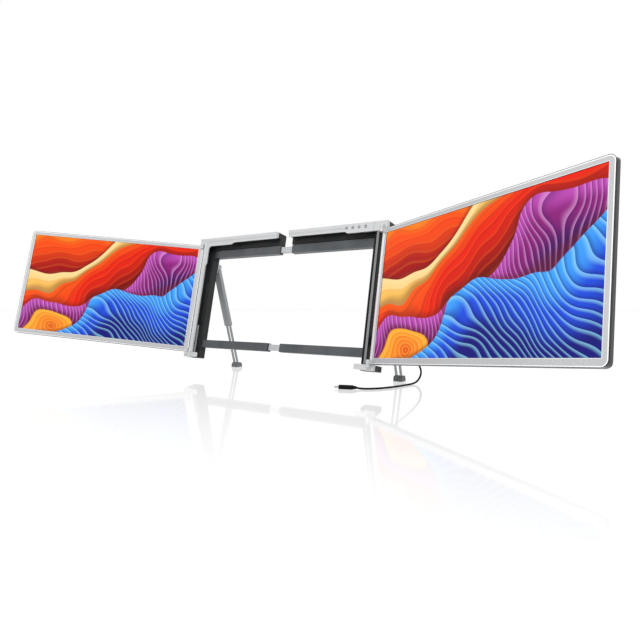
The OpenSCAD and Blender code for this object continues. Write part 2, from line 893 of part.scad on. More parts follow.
module screw(p, y) {
    rod_y(p[0], p[1], screw_r, bay_y, y);
    rod_y(p[0], p[1], head_r, y - (y > frame_d ? base_t / 2 : head_h), y);
}

module case_screws() {
    for (p = case_spots) screw(p, frame_d);
    for (p = base_spots) screw(p, frame_d + base_t);
}

module left_case_screws() {
    color("black") on(left) case_screws();
}

module right_case_screws() {
    color("black") on(right) case_screws();
}

// ---- Lid clips ----

module clip() {
    x = slot_x + stem_gap;
    box(x, x + stem_t, stem_mid - stem_w / 2, stem_mid + stem_w / 2, clip_z, clip_z + stem_len);
    box(wall_x + stem_gap, x + cut, stem_mid - neck_w / 2, stem_mid + neck_w / 2,
        clip_z, clip_z + stem_len);
    box(x, x + stem_t, lip_y, stem_mid, clip_z, clip_z + clip_h);
    difference() {
        slab(lip_y, channel_y) clip_outline(x + stem_t);
        rod_y(wall_x - clip_reach / 2, clip_z + clip_h / 2, dimple_r, lip_y - cut, lip_y + lip_t / 3);
    }
}

module clip_outline(x1) {
    x0 = wall_x - clip_reach;
    translate([x0 + tab_r, clip_z]) square([x1 - x0 - tab_r, clip_h]);
    translate([x0, clip_z + tab_r]) square([tab_r + cut, clip_h - 2 * tab_r]);
    for (z = [clip_z + tab_r, clip_z + clip_h - tab_r]) translate([x0 + tab_r, z]) circle(tab_r);
}

module left_clip() {
    color("silver") on(left) clip();
}

module right_clip() {
    color("silver") on(right) clip();
}

module clip_pad() {
    box(wall_x - clip_reach + tab_r, lip_x, channel_y, channel_y + pad_t, clip_z + 1, clip_z + clip_h - 1);
}

module left_clip_pad() {
    color("black") on(left) clip_pad();
}

module right_clip_pad() {
    color("black") on(right) clip_pad();
}

// ---- Monitors ----

module outline() {
    translate([-axis_in, mon_z]) {
        square([mon_w - mon_r, mon_h]);
        translate([cut, mon_r]) square([mon_w - cut, mon_h - 2 * mon_r]);
        for (z = [mon_r, mon_h - mon_r]) translate([mon_w - mon_r, z]) circle(mon_r);
    }
}

module window(over) {
    translate([act_u - over, act_z - over]) square([active_w + 2 * over, active_h + 2 * over]);
}

module leaf_rooms() {
    for (z = [[mon_z - cut, mon_z + leaf_h], [mon_top - leaf_h, mon_top + cut]])
        box(-axis_in - cut, arm_u, -cut, mon_t + cut, z[0], z[1]);
}

// Screws round the rim hold the bezel, and two at each leaf hold the hinge
rim_spots = [
    for (u = rim_us) for (z = [rim_low, rim_high]) [u, z]
];
leaf_spots = [
    for (u = leaf_us) for (z = [leaf_low + leaf_w / 2, leaf_high + leaf_w / 2]) [u, z]
];

module bezel() {
    difference() {
        slab(0, bezel_t) outline();
        slab(-cut, bezel_t + cut) window(0);
        slab(glass_in, bezel_t + cut) window(glass_over + glass_gap);
        leaf_rooms();
        for (p = rim_spots) rod_y(p[0], p[1], mini_r, bezel_t / 2, bezel_t + cut);
    }
}

module left_bezel() {
    color("whitesmoke") hung(left) bezel();
}

module right_bezel() {
    color("whitesmoke") hung(right) bezel();
}

module left_screen() {
    color("orangered") hung(left) slab(glass_in, bezel_t) window(glass_over);
}

module right_screen() {
    color("orangered") hung(right) slab(glass_in, bezel_t) window(glass_over);
}

module left_backlight_tray() {
    color("lightyellow") hung(left) slab(bezel_t, tray_y) window(glass_over);
}

module right_backlight_tray() {
    color("lightyellow") hung(right) slab(bezel_t, tray_y) window(glass_over);
}

module rear_shell() {
    difference() {
        intersection() {
            slab(bezel_t, mon_t) outline();
            linear_extrude(top_z) polygon([
                [shell_u, bezel_t], [taper_u, mon_t], [end_u - rear_cut, mon_t],
                [end_u, mon_t - rear_cut], [end_u, bezel_t]
            ]);
        }
        difference() {
            box(arm_u, end_u - mon_wall, bezel_t - cut, floor_y, mon_z + mon_wall, mon_top - mon_wall);
            for (z = [[mon_z, act_z - glass_over - glass_gap], [tray_top, mon_top]])
                box(tray_end, end_u, bezel_t - 2 * cut, mon_t, z[0], z[1]);
            for (p = rim_spots) rod_y(p[0], p[1], mini_boss_r, bezel_t, mon_t);
            for (p = leaf_spots) rod_y(p[0], p[1], mini_boss_r, leaf_y + leaf_t, mon_t);
            for (u = rim_us) rod_y(u + support_u, (mon_z + mon_top) / 2, support_r, tray_y, mon_t);
            for (u = [pcb_hole, pcb_w - pcb_hole]) for (z = [pcb_hole, pcb_h - pcb_hole])
                rod_y(pcb_u + u, pcb_z + z, pcb_post_r, pcb_y + pcb_t, mon_t);
        }
        for (i = [0 : slot_n - 1])
            box(slot_u + i * slot_pitch, slot_u + i * slot_pitch + slot_w, floor_y - eps, mon_t + cut,
                slot_z, slot_z + slot_h);
        for (p = concat(rim_spots, leaf_spots)) {
            rod_y(p[0], p[1], mini_r, bezel_t, mon_t + cut);
            rod_y(p[0], p[1], mini_head_r, mon_t - mini_head_h, mon_t + cut);
        }
        leaf_rooms();
    }
}

module left_rear_shell() {
    color("gray") hung(left) rear_shell();
}

module right_rear_shell() {
    color("gray") hung(right) rear_shell();
}

module driver_board() {
    box(pcb_u, pcb_u + pcb_w, pcb_y, pcb_y + pcb_t, pcb_z, pcb_z + pcb_h);
    for (c = driver_chips)
        box(pcb_u + c[0], pcb_u + c[0] + c[2], leaf_y, pcb_y, pcb_z + c[1], pcb_z + c[1] + c[3]);
}

module left_driver_board() {
    color("green") hung(left) driver_board();
}

module right_driver_board() {
    color("green") hung(right) driver_board();
}

// A lug on the pin's axis, an arm that fills the corner and a plate behind the tray
module hinge_leaf(side, z_lug, z_plate, z_arm) {
    ay = axis_y(side);
    difference() {
        union() {
            translate([0, ay, z_lug]) cylinder(r = lug_r, h = leaf_h);
            translate([0, 0, z_lug]) linear_extrude(leaf_h) polygon([
                [-lug_r, ay], [lug_r, ay], [lug_r, 0], [arm_u, 0], [arm_u, arm_y],
                [shell_u, bezel_t], [-lug_r, bezel_t]
            ]);
            box(arm_u - cut, leaf_len, leaf_y, leaf_y + leaf_t, z_arm, z_arm + leaf_h - leaf_edge);
            box(arm_u, leaf_len, leaf_y, leaf_y + leaf_t, z_plate, z_plate + leaf_w);
        }
        translate([0, ay, z_lug - cut]) cylinder(r = pin_r + pin_gap, h = leaf_h + 2 * cut);
        for (p = leaf_spots) rod_y(p[0], p[1], mini_r, leaf_y - cut, leaf_y + leaf_t + cut);
    }
}

module hinge_leaves(side) {
    hinge_leaf(side, mon_top - leaf_h, leaf_high, mon_top - leaf_h);
    hinge_leaf(side, mon_z, leaf_low, mon_z + leaf_edge);
}

module left_hinge_leaves() {
    color("lightsteelblue") hung(left) hinge_leaves(left);
}

module right_hinge_leaves() {
    color("lightsteelblue") hung(right) hinge_leaves(right);
}

module monitor_screws() {
    for (p = rim_spots) mini_screw(p, bezel_t / 2);
    for (p = leaf_spots) mini_screw(p, leaf_y);
}

module mini_screw(p, y0) {
    rod_y(p[0], p[1], mini_r, y0, mon_t - mini_head_h);
    rod_y(p[0], p[1], mini_head_r, mon_t - mini_head_h, mon_t);
}

module left_monitor_screws() {
    color("black") hung(left) monitor_screws();
}

module right_monitor_screws() {
    color("black") hung(right) monitor_screws();
}

// ---- Legs ----

module leg() {
    difference() {
        union() {
            along_x(-leg_w / 2, leg_w / 2) polygon([
                [-leg_d / 2, 0], [-leg_d / 2, leg_soft - leg_len], [leg_soft - leg_d / 2, -leg_len],
                [leg_d / 2 - leg_soft, -leg_len], [leg_d / 2, leg_soft - leg_len], [leg_d / 2, 0]
            ]);
            rod_x(-leg_w / 2, leg_w / 2, 0, 0, leg_d / 2);
        }
        box(-leg_w / 2 + leg_wall, leg_w / 2 - leg_wall, -fork_d / 2 - fork_gap, fork_d / 2 + fork_gap,
            -leg_len - cut, leg_pin_r + cut);
        rod_x(-leg_w, leg_w, 0, 0, leg_pin_r + pin_gap);
    }
}

module left_leg() {
    color("silver") legged(left) leg();
}

module right_leg() {
    color("silver") legged(right) leg();
}

// Two bars that slide in the leg, joined by a web at their head
module fork() {
    for (x = [-fork_span / 2, fork_span / 2])
        box(x - fork_w / 2, x + fork_w / 2, -fork_d / 2, fork_d / 2, -reach + fork_foot, fork_in - leg_len);
    box(-fork_span / 2, fork_span / 2, -fork_d / 2, fork_d / 2, fork_in - leg_len - web_h, fork_in - leg_len);
}

module left_fork() {
    color("silver") legged(left) fork();
}

module right_fork() {
    color("silver") legged(right) fork();
}

module foot() {
    difference() {
        translate([leg_x, pivot_wy + reach * sin(leg_angle), -table_drop])
            rotate([90, 0, 90]) translate([0, 0, -foot_w / 2]) linear_extrude(foot_w) polygon([
                [-foot_d / 2, 0], [foot_d / 2, 0], [foot_d / 2, foot_h / 2], [foot_d / 2 - foot_cut, foot_h],
                [-foot_d / 2 + foot_cut, foot_h], [-foot_d / 2, foot_h / 2]
            ]);
        leg_frame() for (x = [-fork_span / 2, fork_span / 2])
            box(x - fork_w / 2, x + fork_w / 2, -fork_d / 2, fork_d / 2, -reach + fork_foot, 0);
        for (k = [-1, 0, 1]) {
            y = pivot_wy + reach * sin(leg_angle) + k * sole_pitch;
            box(leg_x - foot_w, leg_x + foot_w, y - sole_w / 2, y + sole_w / 2,
                -table_drop - cut, sole_d - table_drop);
        }
    }
}

module left_foot() {
    color("black") mirror([1, 0, 0]) foot();
}

module right_foot() {
    color("black") foot();
}

// ---- Controls and electronics ----

module control_board() {
    color("green") on(right) {
        box(well_x0, well_x1, switch_y + switch_h, switch_y + switch_h + board_t, well_z, top_z - well_top);
        for (i = [0 : 3])
            box(button_x(i) - switch_w / 2, button_x(i) + switch_w / 2, switch_y, switch_y + switch_h,
                button_z - switch_w / 2, button_z + switch_w / 2);
    }
}

module button(i) {
    color("whitesmoke") on(right) {
        difference() {
            union() {
                rod_y(button_x(i), button_z, button_r, button_soft - button_out,
                    panel_wall + button_gap + flange_t / 2);
                cone_y(button_x(i), button_z, button_r - button_soft, button_r,
                    -button_out, button_soft - button_out);
            }
            cone_y(button_x(i), button_z, button_r - 3 * button_soft, button_r / 3,
                -button_out - eps, button_dish - button_out);
        }
        box(button_x(i) - flange_w, button_x(i) + flange_w, panel_wall + button_gap,
            panel_wall + button_gap + flange_t, button_z - button_r, button_z + button_r);
    }
}

module menu_button() {
    button(0);
}

module down_button() {
    button(1);
}

module up_button() {
    button(2);
}

module power_button() {
    button(3);
}

module main_board() {
    color("green") on(right) {
        box(back_x + frame_wall, post_x - frame_wall, board_y, board_y + board_t, main_z, main_z + main_h);
        for (z = main_chips)
            box(post_mid - chip / 2, post_mid + chip / 2, board_y + board_t, board_y + board_t + chip_t,
                main_z + z, main_z + z + chip);
    }
}

// Moulded housing on the post's outer face that the cord leaves to the rear
module cable_pod() {
    color("dimgray") on(right) difference() {
        translate([0, 0, pod_z - pod_h / 2]) linear_extrude(pod_h) polygon([
            [post_x, frame_d - pod_d], [post_x + pod_w - pod_cut, frame_d - pod_d],
            [post_x + pod_w, frame_d - pod_d + pod_cut], [post_x + pod_w, frame_d], [post_x, frame_d]
        ]);
        rod_y(pod_cable_x, pod_z, boot_r, frame_d - boot_in, frame_d + cut);
    }
}

module cord_boot() {
    color("black") on(right) difference() {
        translate([pod_cable_x, frame_d - boot_in, pod_z]) rotate([-90, 0, 0]) union() {
            cylinder(r = boot_r, h = boot_in + cut);
            translate([0, 0, boot_in + cut]) cylinder(r1 = boot_root, r2 = boot_tip, h = boot_len - cut);
        }
        for (i = [0 : 2]) {
            y = frame_d + 2 * cut + i * ring_pitch;
            difference() {
                rod_y(pod_cable_x, pod_z, boot_r + cut, y, y + ring_w);
                rod_y(pod_cable_x, pod_z, boot_core, y - cut, y + ring_w + cut);
            }
        }
        rod_y(pod_cable_x, pod_z, cord_d / 2, frame_d + boot_len - cord_in, frame_d + boot_len + cut);
    }
}

// ---- Cord ----

function spline(a, b, c, d, t) =
    (2 * b + (c - a) * t + (2 * a - 5 * b + 4 * c - d) * t * t + (3 * b - a - 3 * c + d) * t * t * t) / 2;
function clamp(i) = max(0, min(len(route) - 1, i));
function unit(v) = v / norm(v);

cord_path = concat(
    [for (i = [0 : len(route) - 2]) for (j = [0 : rings - 1])
        spline(route[clamp(i - 1)], route[i], route[i + 1], route[clamp(i + 2)], j / rings)],
    [route[len(route) - 1]]
);
cord_n = len(cord_path);
cord_ref = unit([0.5, -0.87, 0]);

function cord_dir(i) = unit(cord_path[min(cord_n - 1, i + 1)] - cord_path[max(0, i - 1)]);
function cord_side(i) = unit(cross(cord_dir(i), cord_ref));
function cord_up(i) = cross(cord_side(i), cord_dir(i));

module cord() {
    color("black") polyhedron(
        points = [for (i = [0 : cord_n - 1]) for (j = [0 : sides - 1])
            cord_path[i] + cord_d / 2 * (cos(360 * j / sides) * cord_side(i)
                + sin(360 * j / sides) * cord_up(i))],
        faces = concat(
            [[for (j = [0 : sides - 1]) j]],
            [for (i = [0 : cord_n - 2]) for (j = [0 : sides - 1])
                [i * sides + j, (i + 1) * sides + j, (i + 1) * sides + (j + 1) % sides]],
            [for (i = [0 : cord_n - 2]) for (j = [0 : sides - 1])
                [i * sides + j, (i + 1) * sides + (j + 1) % sides, i * sides + (j + 1) % sides]],
            [[for (j = [sides - 1 : -1 : 0]) (cord_n - 1) * sides + j]]
        )
    );
}

module plugged() {
    translate(plug_at) rotate([0, 0, plug_dir]) children();
}

module far_plug() {
    color("black") plugged() difference() {
        union() {
            along_x(-plug_len, -neck_len) rounded(plug_w, plug_t, plug_r);
            translate([-neck_len - cut, 0, 0]) rotate([0, 90, 0])
                cylinder(r1 = plug_t / 2, r2 = cord_d / 2 + neck_wall, h = neck_len + cut);
        }
        rod_x(-neck_in, cut, 0, 0, cord_d / 2 + neck_gap);
        for (i = [0 : 3]) for (z = [-plug_t / 2 - cut, plug_t / 2 - plug_rib]) {
            x = i * plug_rib_pitch - plug_len / 2 - plug_rib_pitch;
            box(x, x + plug_rib_w, -plug_w, plug_w, z, z + plug_rib + cut);
        }
    }
}

module far_tongue() {
    color("silver") plugged() {
        difference() {
            along_x(-plug_len - tongue_len, -plug_len) rounded(tongue_w, tongue_t, tongue_t / 2 - eps);
            along_x(-plug_len - tongue_len - cut, tongue_root - plug_len)
                rounded(tongue_w - 2 * tongue_wall, tongue_t - 2 * tongue_wall,
                    tongue_t / 2 - tongue_wall - eps);
        }
        box(blade_in - plug_len - tongue_len, tongue_root - plug_len, -blade_w / 2, blade_w / 2,
            -blade_t / 2, blade_t / 2);
    }
}

left_front_shell();
left_mid_frame();
left_rear_cover();
left_end_cap();
left_lid_pads();
left_hinge_brackets();
left_hinge_pins();
left_rail_channels();
left_leg_bracket();
left_case_screws();
left_clip();
left_clip_pad();
left_bezel();
left_screen();
left_backlight_tray();
left_rear_shell();
left_driver_board();
left_hinge_leaves();
left_monitor_screws();
left_leg();
left_fork();
left_foot();
right_front_shell();
right_corner_cap();
right_lower_cap();
right_post_shell();
right_post_strip();
right_mid_frame();
right_rear_cover();
right_end_cap();
right_lid_pads();
right_hinge_brackets();
right_hinge_pins();
right_rail_channels();
right_rail_bars();
right_leg_bracket();
right_case_screws();
right_clip();
right_clip_pad();
right_bezel();
right_screen();
right_backlight_tray();
right_rear_shell();
right_driver_board();
right_hinge_leaves();
right_monitor_screws();
right_leg();
right_fork();
right_foot();
control_board();
menu_button();
down_button();
up_button();
power_button();
main_board();
cable_pod();
cord_boot();
cord();
far_plug();
far_tongue();
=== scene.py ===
import math

import bmesh
import bpy
from mathutils import Matrix, Vector


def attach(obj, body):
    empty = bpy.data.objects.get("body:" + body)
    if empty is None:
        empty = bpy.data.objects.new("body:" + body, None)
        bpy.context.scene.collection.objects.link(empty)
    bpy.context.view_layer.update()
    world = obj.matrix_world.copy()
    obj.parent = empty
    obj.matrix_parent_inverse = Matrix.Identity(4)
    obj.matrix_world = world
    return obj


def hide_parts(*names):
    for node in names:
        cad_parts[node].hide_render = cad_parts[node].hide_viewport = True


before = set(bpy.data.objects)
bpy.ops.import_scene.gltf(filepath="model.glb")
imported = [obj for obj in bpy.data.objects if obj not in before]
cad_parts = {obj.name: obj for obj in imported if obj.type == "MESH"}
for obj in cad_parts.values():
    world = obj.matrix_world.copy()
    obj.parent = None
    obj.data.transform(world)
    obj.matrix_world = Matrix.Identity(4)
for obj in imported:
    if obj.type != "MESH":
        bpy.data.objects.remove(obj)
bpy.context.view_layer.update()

scene = bpy.context.scene
scene.view_settings.view_transform = "Standard"


# ---- Sizes in millimetres: x to the right, y back, z up along the leaning frame ----

MM = 0.001
LEAN = math.radians(11.8)
SWING = {"left": math.radians(29.0), "right": math.radians(23.9)}
# Hinge axes of the two monitors, and the table top
AXIS_X = 193.5
AXIS_Y = {"left": -0.45, "right": -5.0}
TABLE_Z = -30.0
# A monitor's outline, outwards from its hinge axis and upwards, its depth and its corner radius
MON_U, MON_Z = -3.5, 9.0
MON_W, MON_H, MON_T, MON_R = 348.7, 202.8, 8.5, 8.0
# Its lit area
ACT_U, ACT_Z = 6.1, 18.0
ACTIVE_W, ACTIVE_H = 332.1, 186.8
# Depths of its display's back and face, their reach under the bezel, and the mask that shows
BEZEL_T, GLASS_IN, GLASS_OVER, MASK = 2.4, 0.9, 1.2, 0.3
# A bezel's edges: widths of the painted highlight along its polished rim and of the painted shade
# outside it, and how far back from the face the painted shade on its side starts
PAINTED_HIGHLIGHT_W, PAINTED_SHADE_W, PAINTED_SHADE_Y = 1.7, 0.6, 0.3
# Width and strength of the painted highlight round its window, and end and strength of the painted
# highlight on the strip beside the hinge, far stronger on the right bezel
INNER_W, INNER_HIGHLIGHT = 0.7, 0.6
STRIP_U, STRIP_HIGHLIGHT = 2.5, {"left": 0.15, "right": 0.85}
# Half the widths over which the painted highlights and the painted shade fade out
PAINTED_HIGHLIGHT_BLUR, PAINTED_SHADE_BLUR = 0.1, 0.05
# Backs of the frame and of the raised base of its leg brackets
FRAME_D, BASE_Y = 27.0, 28.4
# Screw places, across and up: frame, leg bracket base, rim of a monitor, and its hinge leaves
CASE_HEADS = [(27, 211.2), (97, 211.2), (180.25, 45), (180.25, 152)]
BASE_HEADS = [(177.45, 186), (183.05, 186)]
RIM_HEADS = [(ACT_U + ACTIVE_W * k / 6, z) for k in (1, 3, 5) for z in (13.6, 208.2)]
LEAF_HEADS = [(u, z) for u in (14.0, 34.0) for z in (17.6, 203.2)]


# ---- Placing: the frame leans back, and its left half mirrors the right one ----

def sided(side):
    """Axes of one half, in millimetres, to upright axes in metres."""
    flip = Matrix.Diagonal((-1, 1, 1, 1)) if side == "left" else Matrix.Identity(4)
    return Matrix.Scale(MM, 4) @ Matrix.Rotation(-LEAN, 4, "X") @ flip


def hung(side):
    """A monitor's axes: x outwards from its hinge, y back from its front face."""
    turn = Matrix.Translation((AXIS_X, AXIS_Y[side], 0)) @ Matrix.Rotation(-SWING[side], 4, "Z")
    return sided(side) @ turn @ Matrix.Translation((0, -AXIS_Y[side], 0))


# ---- Camera: low and to the right of the middle ----

CAMERA_AT = (0.56833, -0.66104, 0.09144)
CAMERA_DOWN, CAMERA_TURN = math.radians(1.438), math.radians(34.819)

camera = bpy.data.objects.new("camera", bpy.data.cameras.new("camera"))
scene.collection.objects.link(camera)
camera.data.lens = 29.843
camera.data.sensor_width = 36
camera.location = CAMERA_AT
camera.rotation_euler = (math.pi / 2 - CAMERA_DOWN, 0, CAMERA_TURN)
scene.camera = camera


# ---- Materials ----

def tone(code):
    """An sRGB hex colour as linear values."""
    parts = [int(code[i:i + 2], 16) / 255 for i in (1, 3, 5)]
    linear = [c / 12.92 if c <= 0.04045 else ((c + 0.055) / 1.055) ** 2.4 for c in parts]
    return (*linear, 1.0)


def add(tree, kind, inputs=None, **settings):
    """Adds a node with its settings; an input is a value or another node's socket."""
    made = tree.nodes.new(kind)
    for name, value in settings.items():
        setattr(made, name, value)
    for name, value in (inputs or {}).items():
        if isinstance(value, bpy.types.NodeSocket):
            tree.links.new(value, made.inputs[name])
        else:
            made.inputs[name].default_value = value
    return made


def blank(name):
    """A material with nothing but its output, and the output."""
    made = bpy.data.materials.new(name)
    made.use_nodes = True
    made.node_tree.nodes.clear()
    return made, made.node_tree, add(made.node_tree, "ShaderNodeOutputMaterial")


# A finish's colour drifts over this length. Its tones run from low to high between two values of
# its pattern, its roughness between two of the grain, and the grain stands in relief.
DRIFT_MM = 38
TONES_FROM, TONES_TO = 0.12, 0.4
GRAIN_FROM, GRAIN_TO = 0.3, 0.7
RELIEF = 0.35
# Strength of the wear along edges, and the cosines of the bend where it starts and is full
WEAR, WEAR_START, WEAR_FULL = 0.8, 0.99, 0.8


def finish_of(name, low, high, roughness, metallic=0.0, grain_mm=1.0, depth_mm=0.02,
              spread=0.06, worn=None, worn_mm=0.4, painted_light=None, **extra):
    """A finish that drifts between two tones and two roughnesses, with its grain in relief."""
    made, tree, out = blank(name)
    place = add(tree, "ShaderNodeTexCoord")
    grain = add(tree, "ShaderNodeTexNoise", {
        "Vector": place.outputs["Object"], "Scale": 1 / (grain_mm * MM), "Detail": 3.0})
    drift = add(tree, "ShaderNodeTexNoise", {
        "Vector": place.outputs["Object"], "Scale": 1 / (DRIFT_MM * MM), "Detail": 2.0})
    mixed = add(tree, "ShaderNodeMath", {
        0: grain.outputs["Fac"], 1: drift.outputs["Fac"]}, operation="MULTIPLY")
    share = add(tree, "ShaderNodeMapRange", {
        "Value": mixed.outputs[0], "From Min": TONES_FROM, "From Max": TONES_TO})
    colour = add(tree, "ShaderNodeMix", {
        "Factor": share.outputs[0], "A": tone(low), "B": tone(high)}, data_type="RGBA")
    rough = add(tree, "ShaderNodeMapRange", {
        "Value": grain.outputs["Fac"], "From Min": GRAIN_FROM, "From Max": GRAIN_TO,
        "To Min": roughness - spread, "To Max": roughness + spread})
    if worn:
        # Handling polishes the edges: the colour goes to a worn tone there, broken up by the grain
        soft = add(tree, "ShaderNodeBevel", {"Radius": worn_mm * MM}, samples=4)
        flat = add(tree, "ShaderNodeNewGeometry")
        facing = add(tree, "ShaderNodeVectorMath", {
            0: soft.outputs[0], 1: flat.outputs["Normal"]}, operation="DOT_PRODUCT")
        edge = add(tree, "ShaderNodeMapRange", {
            "Value": facing.outputs["Value"], "From Min": WEAR_START, "From Max": WEAR_FULL,
            "To Max": WEAR})
        patchy = add(tree, "ShaderNodeMath", {
            0: edge.outputs[0], 1: grain.outputs["Fac"]}, operation="MULTIPLY")
        colour = add(tree, "ShaderNodeMix", {
            "Factor": patchy.outputs[0], "A": colour.outputs["Result"], "B": tone(worn)},
            data_type="RGBA")
    # Painted light: some finishes lay painted highlights and painted shade over their colour
    if painted_light:
        colour = painted_light(tree, place, colour)
    bump = add(tree, "ShaderNodeBump", {
        "Height": grain.outputs["Fac"], "Strength": RELIEF, "Distance": depth_mm * MM})
    shader = add(tree, "ShaderNodeBsdfPrincipled", {
        "Base Color": colour.outputs["Result"], "Metallic": metallic,
        "Roughness": rough.outputs[0], "Normal": bump.outputs[0], **extra})
    tree.links.new(shader.outputs[0], out.inputs["Surface"])
    return made


# Tones of the painted highlights, near white, and of the painted shade, near black
PAINTED_HIGHLIGHT_TONE, PAINTED_SHADE_TONE = "#FBFBFC", "#101112"


def panel_axes(tree, place, side):
    """A point's place in a monitor's own axes, in millimetres."""
    axes = []
    for row in hung(side).inverted()[:3]:
        along = add(tree, "ShaderNodeVectorMath", {
            0: place.outputs["Object"], 1: row[:3]}, operation="DOT_PRODUCT")
        axes.append(add(tree, "ShaderNodeMath", {
            0: along.outputs["Value"], 1: row[3]}, operation="ADD").outputs[0])
    return axes


def past_box(tree, u, z, box):
    """How far a point of a monitor's face lies outside a rectangle."""
    past = []
    for along, low, high in ((u, box[0], box[2]), (z, box[1], box[3])):
        off = add(tree, "ShaderNodeMath", {0: along, 1: (low + high) / 2}, operation="SUBTRACT")
        far = add(tree, "ShaderNodeMath", {0: off.outputs[0]}, operation="ABSOLUTE")
        over = add(tree, "ShaderNodeMath", {
            0: far.outputs[0], 1: (high - low) / 2}, operation="SUBTRACT")
        past.append(add(tree, "ShaderNodeMath", {
            0: over.outputs[0], 1: 0.0}, operation="MAXIMUM").outputs[0])
    both = add(tree, "ShaderNodeCombineXYZ", {"X": past[0], "Y": past[1]})
    length = add(tree, "ShaderNodeVectorMath", {0: both.outputs[0]}, operation="LENGTH")
    return length.outputs["Value"]


def bezel_painted_light(side):
    """Painted highlights round a bezel's face, its window and the strip beside its hinge, with
    near-black painted shade outside and behind them.
    """
    def draw(tree, place, face):
        u, y, z = panel_axes(tree, place, side)
        rim = past_box(tree, u, z, (MON_U + MON_R, MON_Z + MON_R,
                                    MON_U + MON_W - MON_R, MON_Z + MON_H - MON_R))
        hole = past_box(tree, u, z, (ACT_U, ACT_Z, ACT_U + ACTIVE_W, ACT_Z + ACTIVE_H))
        # Each band starts at its place; one with a negative blur ends there instead
        rim_highlight, rim_shade, behind, inner, strip = (add(tree, "ShaderNodeMapRange", {
            "Value": value, "From Min": start - blur, "From Max": start + blur,
            "To Max": most}).outputs[0] for value, start, blur, most in (
                (rim, MON_R - PAINTED_HIGHLIGHT_W, PAINTED_HIGHLIGHT_BLUR, 1.0), (rim, MON_R - PAINTED_SHADE_W, PAINTED_SHADE_BLUR, 1.0),
                (y, PAINTED_SHADE_Y, PAINTED_SHADE_BLUR, 1.0), (hole, INNER_W, -PAINTED_HIGHLIGHT_BLUR, INNER_HIGHLIGHT),
                (u, STRIP_U, -PAINTED_HIGHLIGHT_BLUR, STRIP_HIGHLIGHT[side])))
        edges = add(tree, "ShaderNodeMath", {0: rim_highlight, 1: inner}, operation="MAXIMUM")
        bright = add(tree, "ShaderNodeMath", {0: edges.outputs[0], 1: strip}, operation="MAXIMUM")
        dark = add(tree, "ShaderNodeMath", {0: rim_shade, 1: behind}, operation="MAXIMUM")
        # The bands are painted light: the near-white highlight goes on first, and the near-black
        # shade over it
        highlighted = add(tree, "ShaderNodeMix", {
            "Factor": bright.outputs[0], "A": face.outputs["Result"], "B": tone(PAINTED_HIGHLIGHT_TONE)},
            data_type="RGBA")
        return add(tree, "ShaderNodeMix", {
            "Factor": dark.outputs[0], "A": highlighted.outputs["Result"], "B": tone(PAINTED_SHADE_TONE)},
            data_type="RGBA")
    return draw


# Real grains of a few hundredths of a millimetre are too fine to show, so each is drawn as coarse
# as it needs to be seen.

# Bead-blasted anodised aluminium: a pale grey metal whose fine grit softens every reflection
anodised_silver = finish_of(
    "anodised_aluminium", "#C8CACB", "#D2D4D5", 0.42, metallic=0.3, grain_mm=0.5,
    depth_mm=0.001, spread=0.04, worn="#F2F3F4")
# Satin anodised bezels: smoother than the shells, with a painted highlight along their polished
# edges and painted shade on their dark sides
anodised_bezel = {side: finish_of(
    "satin_anodised_bezel_" + side, "#BCBEC0", "#C2C4C6", 0.28, metallic=0.5, grain_mm=0.45,
    depth_mm=0.0005, spread=0.02, painted_light=bezel_painted_light(side)) for side in SWING}
# Extruded and anodised aluminium of the legs: a greyer metal than the shells
anodised_leg = finish_of(
    "extruded_anodised_aluminium", "#8A8D90", "#9DA0A2", 0.36, metallic=0.7, grain_mm=0.7,
    depth_mm=0.002, worn="#C9CCCE")
# Spark-eroded ABS: a nearly black moulding with an even dull grain, paler along its edges
textured_abs = finish_of(
    "spark_textured_abs", "#1E2021", "#262829", 0.5, grain_mm=0.8, depth_mm=0.03,
    worn="#55585B", **{"Specular IOR Level": 0.25})
# Matt lacquered ABS of the monitors' backs: dark grey, and finer in grain
lacquered_abs = finish_of(
    "lacquered_abs_back", "#3A3C3F", "#404346", 0.44, grain_mm=0.6, depth_mm=0.018,
    worn="#6C6F72")
# Satin grey on the strip down the right post: painted shade, as the same band on the left post is
# silver
post_strip_painted_shade = finish_of(
    "post_strip_painted_shade", "#787B7D", "#888B8D", 0.42, metallic=0.2, grain_mm=0.6, depth_mm=0.01)
# Moulded nitrile rubber: nearly black and dull, with faint dust in its grain
nitrile = finish_of(
    "moulded_nitrile_rubber", "#141415", "#222324", 0.72, grain_mm=1.1, depth_mm=0.04)
# Compression-moulded rubber of the feet: grey, dusted pale by handling
foot_rubber = finish_of(
    "moulded_foot_rubber", "#646668", "#7A7C7E", 0.66, grain_mm=1.0, depth_mm=0.04,
    worn="#83868A", worn_mm=0.6)
# Deep black with little shine on the right post: painted shade cast by the right monitor, as the
# left post is silver
post_painted_shade_abs = finish_of(
    "post_painted_shade_abs", "#08090A", "#121314", 0.46, grain_mm=0.8, depth_mm=0.02,
    **{"Specular IOR Level": 0.1})
# Extruded TPE jacket of the cord: black with a soft sheen
tpe_jacket = finish_of(
    "extruded_tpe_jacket", "#050506", "#0C0C0D", 0.6, grain_mm=0.9, depth_mm=0.015,
    **{"Specular IOR Level": 0.12})
# Stamped stainless steel of the brackets and bars: a clear grey metal with a fine roll grain
stainless = finish_of(
    "stamped_stainless_steel", "#9A9DA0", "#B4B7B9", 0.3, metallic=1.0, grain_mm=0.4,
    depth_mm=0.003)
# Hard-anodised extrusion of the telescopic rails: a dark dull metal
hard_anodised = finish_of(
    "hard_anodised_rail", "#4A4D50", "#5B5E61", 0.4, metallic=0.8, grain_mm=0.6,
    depth_mm=0.012)
# Black-oxide steel of the small screws: nearly black with a metal's glint
black_oxide = finish_of(
    "black_oxide_steel", "#1C1D1E", "#2A2B2C", 0.42, metallic=0.7, grain_mm=0.4,
    depth_mm=0.008)
